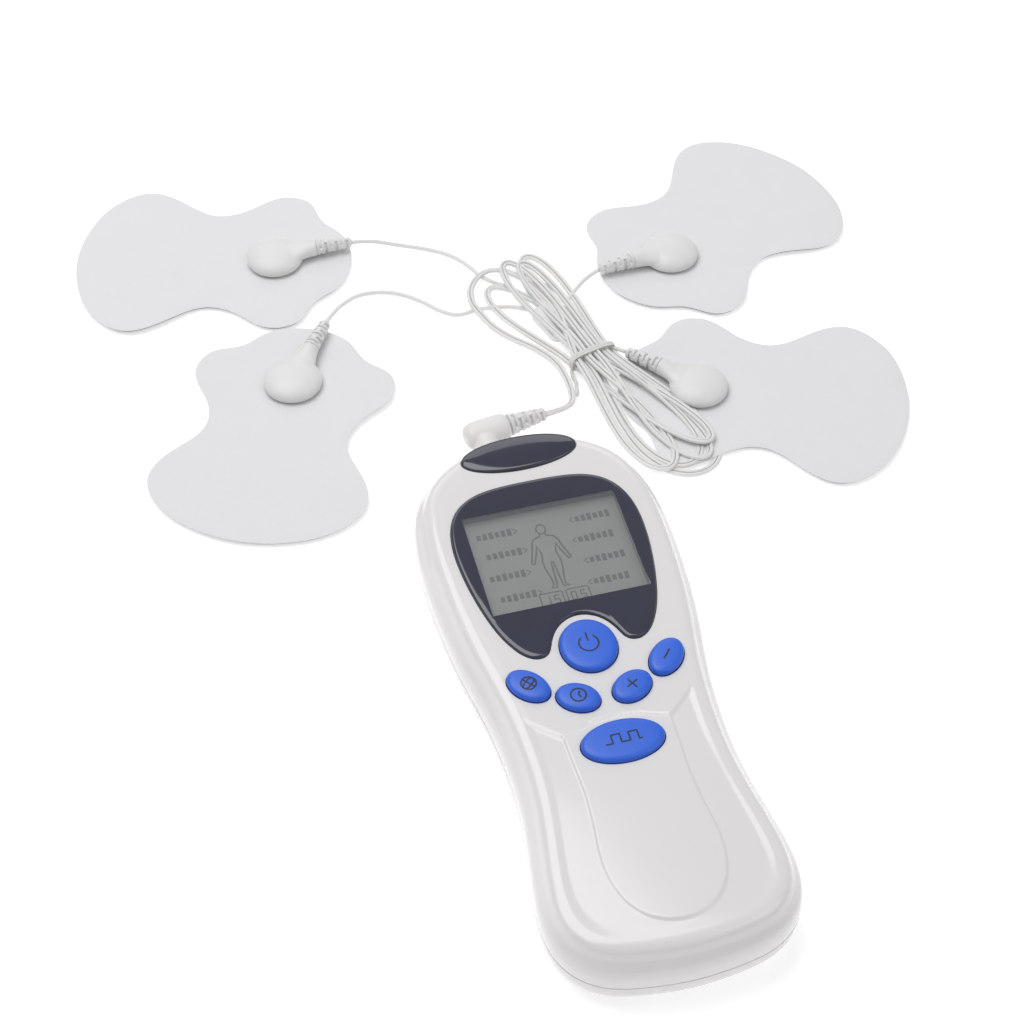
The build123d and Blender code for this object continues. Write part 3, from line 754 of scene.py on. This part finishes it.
# where a boot starts and ends along its lead, its radius at both, and its ribs
CONNECTOR_BOOT = (12.6, 24.0, 2.5, 1.7, 7)
PLUG_BOOT = (6.0, 17.6, 3.2, 2.0, 7)
PLUG_HALF_SIZE = (4.4, 3.7)
PLUG_SECTIONS = [                        # x, and the share of the plug's half size there
    (-6.9, 0.45), (-6.5, 0.7), (-5.6, 0.88), (-4.2, 0.98), (-2, 1), (2, 1), (4.6, 0.97), (5.5, 0.9),
    (6.1, 0.76),
]
COLLAR_PROFILE = [(0, 2.9), (0.3, 3.2), (5.4, 3.3), (6.4, 2.4)]


def boot_shape(start, end, radius_start, radius_end, ribs):
    """Strain relief along +X: a slim core, rings, and staggered webs between the rings."""
    pitch = (end - start) / ribs
    core = [(start - 0.3, radius_start * 0.7), (end - 0.2, radius_end * 0.72), (end, radius_end * 0.6)]
    shapes = [lathe_x(core)]
    for i in range(ribs):
        middle = start + (i + 0.5) * pitch
        radius = radius_start + (radius_end - radius_start) * i / (ribs - 1)
        half = pitch * 0.27
        ring = [(middle - half, radius * 0.6), (middle - half, radius * 0.93), (middle - half * 0.6, radius),
                (middle + half * 0.6, radius), (middle + half, radius * 0.93), (middle + half, radius * 0.6)]
        shapes.append(lathe_x(ring))
        if i == ribs - 1:
            break
        for side in (0, 180):
            angle = math.radians(side + (90 if i % 2 else 0))
            across = np.array([0, -math.sin(angle), math.cos(angle)])
            outwards = np.array([0, math.cos(angle), math.sin(angle)])
            corners = [(1, radius * 0.5), (1, radius * 0.93), (-1, radius * 0.93), (-1, radius * 0.5)]
            rings = []
            for x in (middle, middle + pitch):
                web = [[x, 0, 0] + across * w * radius * 0.3 + outwards * r for w, r in corners]
                rings.append(np.array(web))
            shapes.append(loft(rings))
    return joined(shapes)


def connector_shape():
    """Domed snap connector at the origin with its lead along +X, and its boot."""
    low, high, radius = DISC_LOW_Z, DISC_TOP_Z, DISC_RADIUS
    dome = [(radius * 0.5, low), (radius * 0.97, low), (radius, low + 0.35), (radius, low + 1.0)]
    for angle in np.linspace(8, 84, 9):
        lean = math.radians(angle)
        dome.append((radius * math.cos(lean) ** 0.9, low + 1.0 + (high - low - 1.0) * math.sin(lean) ** 1.1))
    neck_rings = []
    for x, half_width, z_low, z_high in NECK_SECTIONS:
        middle, half_height = (z_low + z_high) / 2, (z_high - z_low) / 2
        ring = ellipse(half_width, half_height, 40)
        neck_rings.append(np.column_stack([np.full(40, x), ring[:, 0], ring[:, 1] + middle]))
    core = moulded([lathe_z(dome), loft(neck_rings)], voxel=0.28, rounds=14)
    boot = boot_shape(*CONNECTOR_BOOT)
    return joined([core, (boot[0] + [0, 0, BOOT_Z], boot[1])])


def build_connectors(materials):
    shape = connector_shape()
    pieces = []
    for index, (x, y, lobe, lead) in enumerate(PADS):
        angle = math.radians(lobe)
        stud = (x + STUD_X * math.cos(angle), y + STUD_X * math.sin(angle))
        placed = moved(shape, *stud, 0, lead)
        name = f"snap_connector_{index + 1}"
        pieces.append(piece(name, placed, "lead_set", materials["lead"], sharp=48))
        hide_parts(f"connector_{index + 1}")
    return pieces


def build_plug(materials):
    """Right-angled plug: an arm with a round end, its boot, and a collar to the socket."""
    arm_rings = []
    for x, share in PLUG_SECTIONS:
        ring = ellipse(PLUG_HALF_SIZE[0] * share, PLUG_HALF_SIZE[1] * share, 48)
        arm_rings.append(np.column_stack([np.full(48, x), ring]))
    arm = moved(loft(arm_rings), *PLUG_CENTRE, SOCKET_Z, PLUG_TURN)
    collar = moved(lathe_x(COLLAR_PROFILE), SOCKET_X, COLLAR_START_Y, SOCKET_Z, 90)
    core = moulded([arm, collar], voxel=0.3, rounds=8)
    boot = moved(boot_shape(*PLUG_BOOT), *PLUG_CENTRE, SOCKET_Z, PLUG_TURN)
    plug = piece("lead_plug", joined([core, boot]), "lead_set", materials["lead"], sharp=48)
    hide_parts("plug_body")
    return plug


# ---------------------------------------------------------------- leads
def hank_point(u, v, z):
    """A point given by its place along and across the hank."""
    angle = math.radians(HANK_AXIS_DEG)
    c, s = math.cos(angle), math.sin(angle)
    return (HANK_CENTRE[0] + u * c - v * s, HANK_CENTRE[1] + u * s + v * c, z)


TIE_U = 0.6                              # where the tie holds the strands, along the hank
# lanes of the folded lead through the tie, across and up, in the order they are laid
LANES = [
    (-4.4, 4.6), (-1.2, 5.1), (6.8, 3.3), (-2.3, 3.5), (1.8, 5.2), (5.0, 1.9), (-4.9, 2.2),
    (2.0, 3.5), (4.6, 4.5), (0.2, 2.0),
]
# each lobe of the hank: reach along it, middle and half width of its far end, height there,
# and the side that it is laid along first
LOBES = [
    (48.5, -3.4, 6.0, 1.9, -1),
    (-49.0, 8.0, 4.4, 0.9, -1),
    (54.0, 5.4, 10.0, 0.8, 1),
    (-48.5, 0.6, 3.8, 2.3, -1),
    (50.5, 7.6, 5.4, 1.9, -1),
    (-42.5, -8.2, 4.6, 0.8, 1),
    (46.5, 11.4, 4.4, 3.0, -1),
    (-45.6, 4.6, 3.2, 2.4, -1),
    (50.0, 3.2, 7.6, 1.5, 1),
]
# shares of a lobe's reach, and of its half width there
LOBE_STATIONS = [(0.14, 0.12), (0.32, 0.45), (0.52, 0.80), (0.72, 1.0), (0.89, 0.86), (0.99, 0.36)]
# from the end of the main lead's route into the hank, and from there back along it, in its u, v, z
FIRST_LOOP = [(6.4, 153.2, 2.0), (7.6, 159.6, 1.9), (11.8, 164.8, 1.9), (17.4, 166.4, 1.7)]
FIRST_RETURN = [(-42, 2.2, 1.0), (-32, 3.6, 1.4), (-21, 2.6, 3.6), (-10, -0.8, 4.3)]
SPLITTER_ENDS = [(-12.4, -1.0, 1.5), (-25.6, -1.0, 1.3)]


def lobe_points(lobe, lane_in, lane_out):
    """Twelve points of one lobe, out along one side and back along the other."""
    reach, tip_v, half_width, far_z, side = lobe
    points = []
    for lane, way, stations in ((lane_in, side, LOBE_STATIONS), (lane_out, -side, LOBE_STATIONS[::-1])):
        for share, belly in stations:
            v = lane[0] + (tip_v - lane[0]) * share + way * half_width * belly
            z = lane[1] + (far_z - lane[1]) * smoothstep(0.05, 0.85, share)
            points.append(hank_point(reach * share, v, z))
    return points


def main_route():
    """The twin lead from the plug through all lobes of the hank to the splitter."""
    points = MAIN_LEAD_ROUTE + FIRST_LOOP + [hank_point(*p) for p in FIRST_RETURN]
    for k, lobe in enumerate(LOBES):
        points.append(hank_point(TIE_U, *LANES[k]))
        points += lobe_points(lobe, LANES[k], LANES[k + 1])
    points.append(hank_point(TIE_U, *LANES[-1]))
    points.append(hank_point(-6.5, 0.4, 1.9))
    points.append(hank_point(*SPLITTER_ENDS[0]))
    return points


def nurbs_points(route, name):
    """Closely spaced points of the smooth curve that has the route's points as control points."""
    curve = bpy.data.curves.new(name, "CURVE")
    curve.dimensions = "3D"
    curve.resolution_u = 14
    spline = curve.splines.new("NURBS")
    spline.points.add(len(route) - 1)
    for point, place in zip(spline.points, route):
        point.co = (*[c * MM for c in place], 1)
    spline.order_u = 3
    spline.use_endpoint_u = True
    obj = loose_object(name, curve)
    bpy.context.view_layer.update()
    mesh = bpy.data.meshes.new_from_object(obj)
    points = np.array([v.co for v in mesh.vertices]) / MM
    bpy.data.objects.remove(obj)
    return points


def tube(points, section, spacing, roll):
    """Sweep a section (across, up) along points; roll turns it, one angle per point."""
    length = np.sum(np.linalg.norm(np.diff(points, axis=0), axis=1))
    path = evenly(points, int(length / spacing) + 1, False)
    along = np.gradient(path, axis=0)
    along /= np.linalg.norm(along, axis=1)[:, None]
    across = np.cross(along, UP)
    across /= np.linalg.norm(across, axis=1)[:, None]
    upright = np.cross(across, along)
    turn = roll(np.linspace(0, length, len(path)))
    rings = []
    for i in range(len(path)):
        c, s = math.cos(turn[i]), math.sin(turn[i])
        x_axis = across[i] * c + upright[i] * s
        y_axis = upright[i] * c - across[i] * s
        rings.append(path[i] + section[:, :1] * x_axis + section[:, 1:] * y_axis)
    return loft(rings), path, length


CORE_SHARE = 0.27                        # radius of one core of the twin lead, to its width


def twin_section(width):
    """Two round cores side by side, as one outline."""
    radius = width * CORE_SHARE
    offset = width / 2 - radius
    right = arc((offset, 0), radius, -150, 150, 15)
    return np.vstack([right, -right])


def build_main_lead(materials):
    points = nurbs_points(main_route(), "main_lead_line")

    def roll(at):
        """A slow, uneven twist along the lead."""
        return 0.35 * np.sin(at / 31) + 0.25 * np.sin(at / 13.7 + 1)

    shape, path, length = tube(points, twin_section(LEAD_D), spacing=0.9, roll=roll)
    lead = piece("twin_lead", shape, "lead_set", materials["lead"], sharp=0)
    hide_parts("main_lead", "lead_hank")


BRANCH_SPREAD = 1.4                      # between two leads where they leave the splitter
BRANCH_STARTS = [                        # from the splitter out of the hank, in its own u, v, z
    [(-33, -2.2, 0.8), (-40, -3.4, 0.8)],
    [(-31, -5.6, 0.8), (-34, -11, 0.8)],
    [(-31, -0.4, 0.8), (-36, 1.6, 0.8), (-35.5, 6.8, 0.8), (-29.5, 8.4, 0.9)],
    [(-29, 1.2, 0.8), (-26.6, 5.2, 0.8), (-21.6, 6.8, 0.8)],
]


def build_branches(materials):
    circle = ellipse(BRANCH_D / 2, BRANCH_D / 2, 14)
    for index, route in enumerate(BRANCH_ROUTES):
        u, v, z = SPLITTER_ENDS[1]
        exit_point = hank_point(u, v + (index - 1.5) * BRANCH_SPREAD, z)
        inner = [hank_point(*p) for p in BRANCH_STARTS[index]]
        whole = [exit_point] + inner + route[::-1]
        points = nurbs_points(whole, f"branch_line_{index + 1}")
        shape, path, length = tube(points, circle, spacing=0.8, roll=lambda at: 0 * at)
        name = f"thin_lead_{index + 1}"
        lead = piece(name, shape, "lead_set", materials["lead"], sharp=0)
        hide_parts(f"branch_lead_{index + 1}")


TIE_BOX = (0.75, 6.1, -6.3, 8.4)         # low, high, and the two sides across the hank
TIE_SECTION = [                          # along the hank and outwards, with the wire in the middle
    (-0.95, 0), (-0.8, 0.28), (-0.3, 0.2), (0, 0.42), (0.3, 0.2), (0.8, 0.28), (0.95, 0),
    (0.6, -0.2), (-0.6, -0.2),
]
TIE_TAIL = [(0.8, -6.0, 1.6), (2.6, -7.2, 1.2), (5.4, -7.4, 1.0), (8.8, -9.2, 1.0), (10.6, -10.4, 1.3)]
TIE_TWISTS = 5


def build_tie(materials):
    """Paper-covered wire tie: a flat loop round the lanes, and a twisted tail."""
    low, high, left, right = TIE_BOX
    middle_v, middle_z = (left + right) / 2, (low + high) / 2
    angles = np.linspace(0, 2 * math.pi, 90, endpoint=False)
    power = 0.62                         # below 1, so that the loop is between an oval and a box
    loop_v = middle_v + (right - left) / 2 * np.sign(np.cos(angles)) * abs(np.cos(angles)) ** power
    loop_z = middle_z + (high - low) / 2 * np.sign(np.sin(angles)) * abs(np.sin(angles)) ** power
    rings = []
    for i in range(len(angles)):
        out_v, out_z = math.cos(angles[i]), math.sin(angles[i])
        ring = []
        for along, out in TIE_SECTION:
            u = TIE_U + along + 0.25 * math.sin(angles[i] * 2)
            ring.append(hank_point(u, loop_v[i] + out * out_v, loop_z[i] + out * out_z))
        rings.append(np.array(ring))
    shapes = [loft(rings, closed=True)]
    points = nurbs_points([hank_point(*p) for p in TIE_TAIL], "tie_tail_line")
    path = evenly(points, 60, False)
    for phase in (0, math.pi):
        turn = np.linspace(0, TIE_TWISTS * 2 * math.pi, len(path)) + phase
        offset = np.stack([np.cos(turn) * 0.3, np.cos(turn) * 0.3, np.sin(turn) * 0.45], 1)
        strand = tube(path + offset, ellipse(0.42, 0.3, 12), spacing=0.25, roll=lambda at: at * 1.5)[0]
        shapes.append(strand)
    tie = piece("wire_tie", joined(shapes), "lead_set", materials["tie"])
    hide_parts("twist_tie")


# ---------------------------------------------------------------- CAD pieces, stage, light, camera
# Places and sizes here are in metres, and the lens and the sensor are in millimetres.
FLOOR_HALF = 3.0
FLOOR_Z = -1e-4                          # just under the underside of the pads and the case
WORLD_STRENGTH = 0.42
LIGHT_TARGET = (0, 0.07, 0)
SOFTBOXES = [                            # name, place, size and power
    ("key_softbox", (-0.28, 0.40, 1.1), (1.0, 0.8), 7.2),
    ("fill_softbox", (0.7, -0.4, 0.9), (0.6, 0.9), 1.6),
    ("back_softbox", (0.1, 1.1, 0.7), (1.0, 0.4), 1.5),
]
CAMERA_PLACE = (-0.1001, -0.2983, 0.4390)
CAMERA_AIM = (-0.00259, 0.07064, 0)
CAMERA_LENS = 73.8
CAMERA_SENSOR = 36


def dress_cad_nodes(materials):
    """Give every piece that is shown as designed its own procedural material."""
    for row in frame["record"]["subparts"]:
        node = frame["nodes"][row["node"]]
        node.data.materials.clear()
        node.data.materials.append(materials[row["material_slot"]])


def build_stage():
    mesh = bpy.data.meshes.new("floor")
    corners = [(sx * FLOOR_HALF, sy * FLOOR_HALF, FLOOR_Z) for sx, sy in ((-1, -1), (1, -1), (1, 1), (-1, 1))]
    mesh.from_pydata(corners, [], [(0, 1, 2, 3)])
    floor = loose_object("floor", mesh)
    material = Material("floor_white", (0.9, 0.9, 0.9), 0.9, Emission_Strength=0.4)
    material.shader.inputs["Emission Color"].default_value = (1, 1, 1, 1)
    mesh.materials.append(material.mottle(400, 0.01).block)
    world = bpy.data.worlds.new("studio")
    bpy.context.scene.world = world
    world.use_nodes = True
    world.node_tree.nodes["Background"].inputs["Color"].default_value = (1, 1, 1, 1)
    world.node_tree.nodes["Background"].inputs["Strength"].default_value = WORLD_STRENGTH


def aim_at(obj, place, target):
    """Put a light or a camera at a place, looking at the target."""
    place = Vector(place)
    obj.location = place
    obj.rotation_euler = (Vector(target) - place).to_track_quat("-Z", "Y").to_euler()


def area_light(name, place, size, power):
    light = bpy.data.lights.new(name, "AREA")
    light.shape = "RECTANGLE"
    light.size, light.size_y = size
    light.energy = power
    obj = loose_object(name, light)
    aim_at(obj, place, LIGHT_TARGET)


def build_lights():
    for name, place, size, power in SOFTBOXES:
        area_light(name, place, size, power)


def build_camera():
    data = bpy.data.cameras.new("camera")
    data.sensor_width = CAMERA_SENSOR
    data.lens = CAMERA_LENS
    camera = loose_object("camera", data)
    aim_at(camera, CAMERA_PLACE, CAMERA_AIM)
    bpy.context.scene.camera = camera
    bpy.context.scene.view_settings.view_transform = "Standard"


build_camera()
materials = make_materials()
dress_cad_nodes(materials)
plug = build_plug(materials)
connectors = build_connectors(materials)
build_main_lead(materials)
build_branches(materials)
build_tie(materials)
build_front_shell(materials)
build_window(materials)
build_screen_marks(materials)
build_buttons(materials)
build_pads(materials)
build_stage()
build_lights()

bpy.context.view_layer.update()
